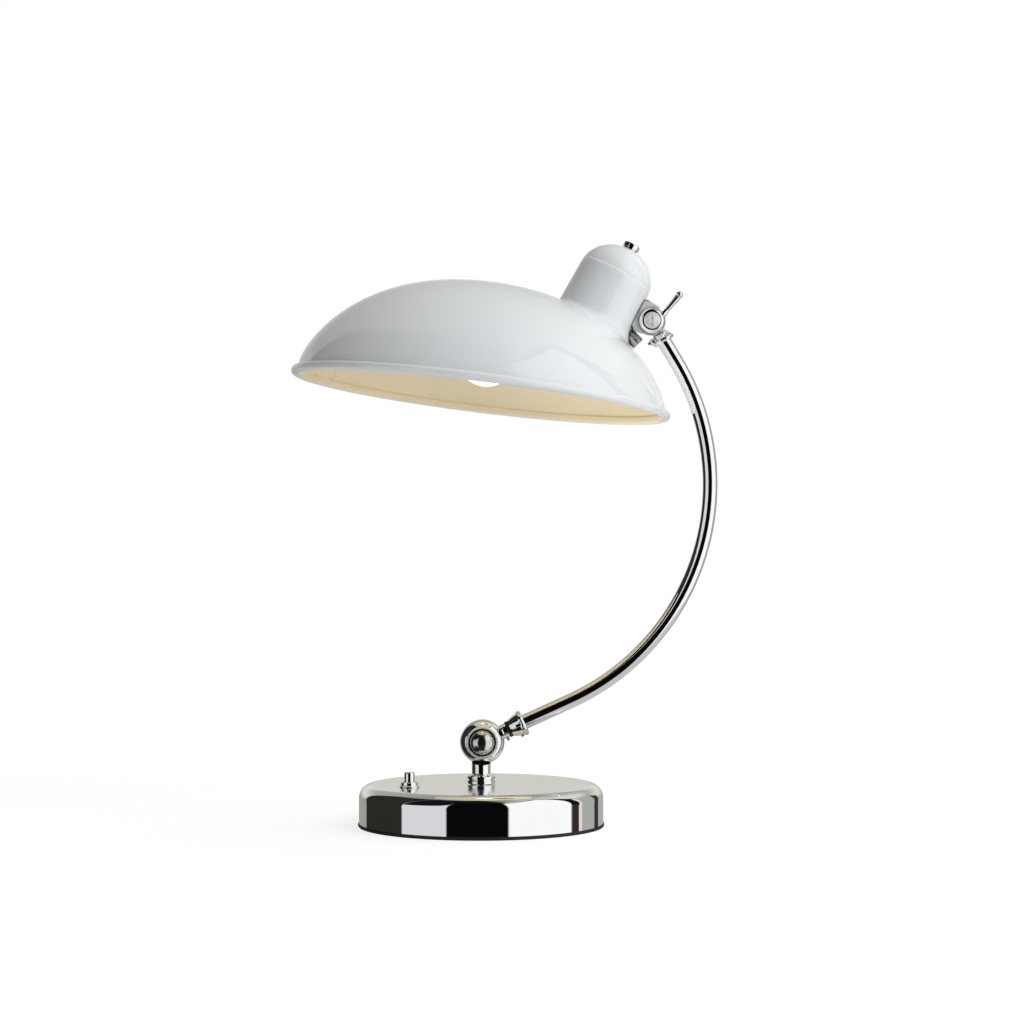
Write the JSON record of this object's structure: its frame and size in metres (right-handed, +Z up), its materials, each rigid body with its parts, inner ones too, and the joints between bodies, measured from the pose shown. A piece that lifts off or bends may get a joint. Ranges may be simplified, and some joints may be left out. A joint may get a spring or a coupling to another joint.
{
  "type": "desk lamp",
  "caption": "Desk lamp with a wide white spun dome shade on a curved chromed tube arm, a clamp lever at the shade and a weighted round chromed base with a push button.",
  "frame": {"origin": "centre of the base pad's underside, on the table and on the swivel's axis", "axes": "+Z up, +X from the post towards the arm's bow, -Y towards the front, where the lower joint's bolt head and the clamp lever are"},
  "size_m": [0.3156, 0.2822, 0.4335],
  "materials": {
    "chrome": "polished",
    "white_enamel": "gloss white outside, cream inside",
    "black_rubber": "matt",
    "cast_iron": "as cast",
    "zinc_steel": "zinc plated",
    "brass": "plain",
    "black_plastic": "satin",
    "white_plastic": "satin",
    "fibre": "matt",
    "opal_glass": "opal"
  },
  "bodies": {
    "base": {"base_cover": "chrome", "base_pad": "black_rubber", "bottom_plate": "zinc_steel", "base_weight": "cast_iron", "cover_pillars": "zinc_steel", "base_screws": "zinc_steel", "cord_grommet": "black_rubber", "terminal_block": "white_plastic", "terminal_screws": "brass", "switch_case": "black_plastic", "switch_neck": "chrome", "switch_nut": "chrome", "post_bush": "brass", "stop_peg": "brass"},
    "button": {"switch_button": "chrome"},
    "post_body": {"post": "chrome", "post_washer": "zinc_steel", "post_nut": "brass", "stop_washer": "zinc_steel"},
    "arm": {"arm_eye": "chrome", "hinge_washer": "fibre", "pivot_bolt": "chrome", "pivot_washer": "zinc_steel", "pivot_nut": "chrome", "neck_screw": "zinc_steel", "ferrule_washer": "black_plastic", "lower_ferrule": "chrome", "arm_tube": "chrome", "arm_lead": "black_plastic", "upper_ferrule": "chrome", "ferrule_screws": "zinc_steel", "arm_knuckle": "chrome"},
    "head": {"bracket": "chrome", "bracket_screws": "zinc_steel", "clamp_bolt": "chrome", "shade_dome": "white_enamel", "neck_cap": "white_enamel", "finial_nut": "chrome", "finial_stud": "zinc_steel", "holder_bracket": "zinc_steel", "holder_nipple": "zinc_steel", "lampholder_shell": "black_plastic", "lampholder_core": "white_plastic", "screw_sleeve": "brass", "centre_contact": "brass", "bulb_cap": "brass", "bulb_contact": "zinc_steel", "bulb_glass": "opal_glass", "lead_bush": "chrome", "lead_bush_nut": "zinc_steel"},
    "lever": {"clamp_nut": "chrome", "clamp_cap": "chrome", "clamp_lever": "chrome"}
  },
  "joints": [
    {"name": "base_swivel", "type": "hinge", "parent": "base", "child": "post_body", "pos_m": [0, 0, 0.031], "axis": [0, 0, 1], "range_deg": [-160, 160]},
    {"name": "arm_tilt", "type": "hinge", "parent": "post_body", "child": "arm", "pos_m": [0.0008, 0, 0.062], "axis": [0, 1, 0], "range_deg": [-40, 25]},
    {"name": "shade_tilt", "type": "hinge", "parent": "arm", "child": "head", "pos_m": [0.12584, 0, 0.37279], "axis": [0, 1, 0], "range_deg": [-10, 45]},
    {"name": "clamp_turn", "type": "hinge", "parent": "head", "child": "lever", "pos_m": [0.12584, 0, 0.37279], "axis": [0, 1, 0], "range_deg": [-30, 60]},
    {"name": "switch_press", "type": "slide", "parent": "base", "child": "button", "axis": [0, 0, -1], "range_m": [0, 0.0025], "stiffness_N_per_m": 500, "springref_m": -0.0015}
  ]
}
